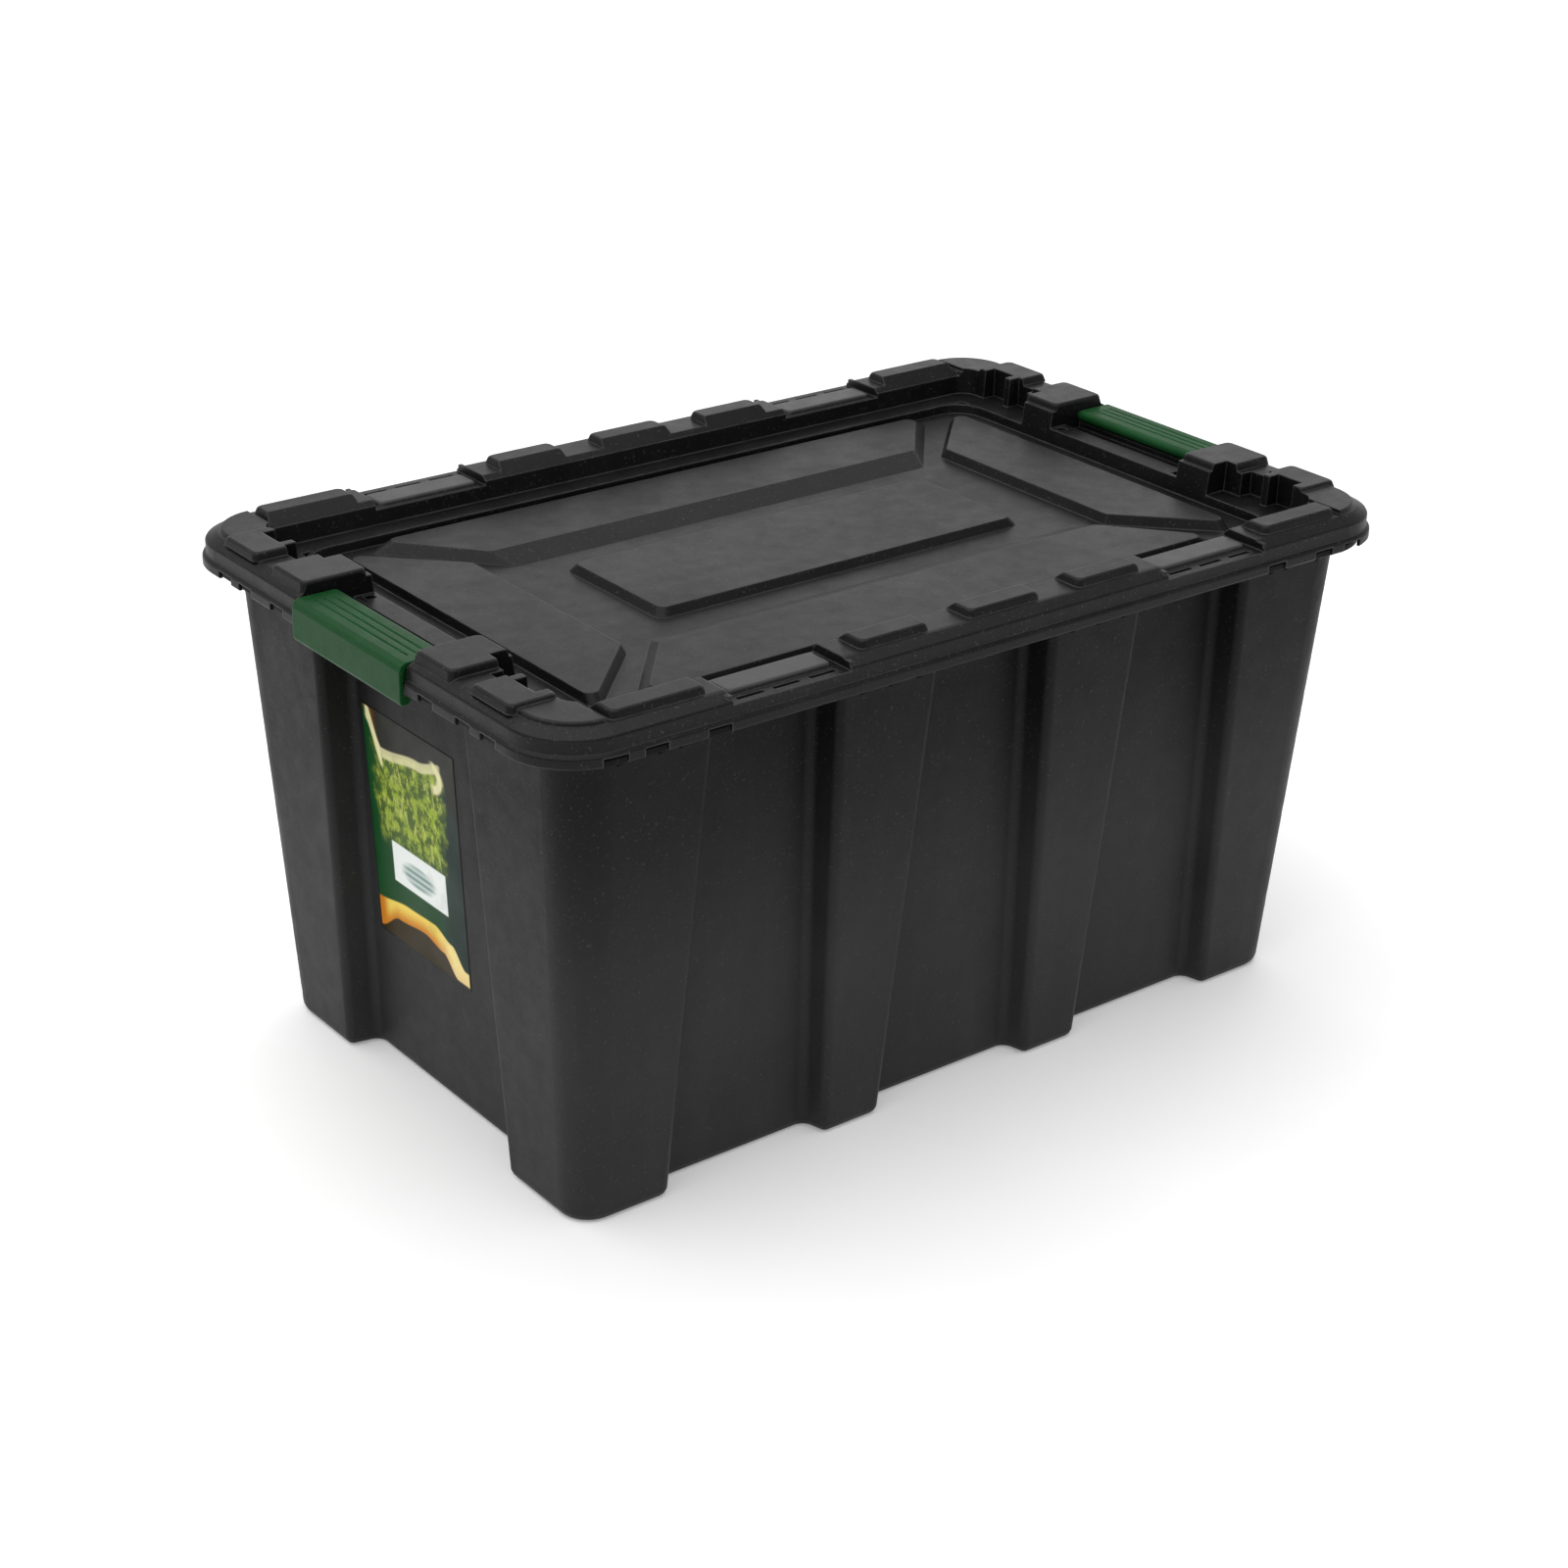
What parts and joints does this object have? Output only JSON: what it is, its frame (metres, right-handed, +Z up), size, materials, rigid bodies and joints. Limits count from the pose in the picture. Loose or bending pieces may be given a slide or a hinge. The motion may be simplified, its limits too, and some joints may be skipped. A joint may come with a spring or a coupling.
{
  "type": "stackable storage bin",
  "caption": "Lidded stacking tote: drafted tub with stepped ribbed walls, lift-off relief-moulded lid, hinged snap latches on both short ends and a sticker on one end.",
  "frame": {"origin": "bottom centre of the tub, on the plane its feet stand on", "axes": "+X along the long side, towards the right latch; +Y along the short side; +Z up"},
  "size_m": [0.624, 0.4, 0.3226],
  "materials": {
    "tub_plastic": "charcoal recycled polypropylene, satin with a faint moulded grain",
    "lid_plastic": "charcoal recycled polypropylene, satin with a faint moulded grain",
    "latch_plastic": "mid green moulded polypropylene, semi-gloss",
    "label_paper": null
  },
  "bodies": {
    "tub_body": {"tub": "tub_plastic", "tub_rim": "tub_plastic", "label": "label_paper"},
    "lid_body": {"lid": "lid_plastic"},
    "latch_left_body": {"latch_left": "latch_plastic"},
    "latch_right_body": {"latch_right": "latch_plastic"}
  },
  "joints": [
    {"name": "lid_lift", "type": "slide", "parent": "tub_body", "child": "lid_body", "axis": [0, 0, 1], "range_m": [0, 0.3]},
    {"name": "latch_left_hinge", "type": "hinge", "parent": "lid_body", "child": "latch_left_body", "pos_m": [-0.2846, 0, 0.3118], "axis": [0, 1, 0], "range_deg": [0, 105]},
    {"name": "latch_right_hinge", "type": "hinge", "parent": "lid_body", "child": "latch_right_body", "pos_m": [0.2846, 0, 0.3118], "axis": [0, -1, 0], "range_deg": [0, 105]}
  ]
}
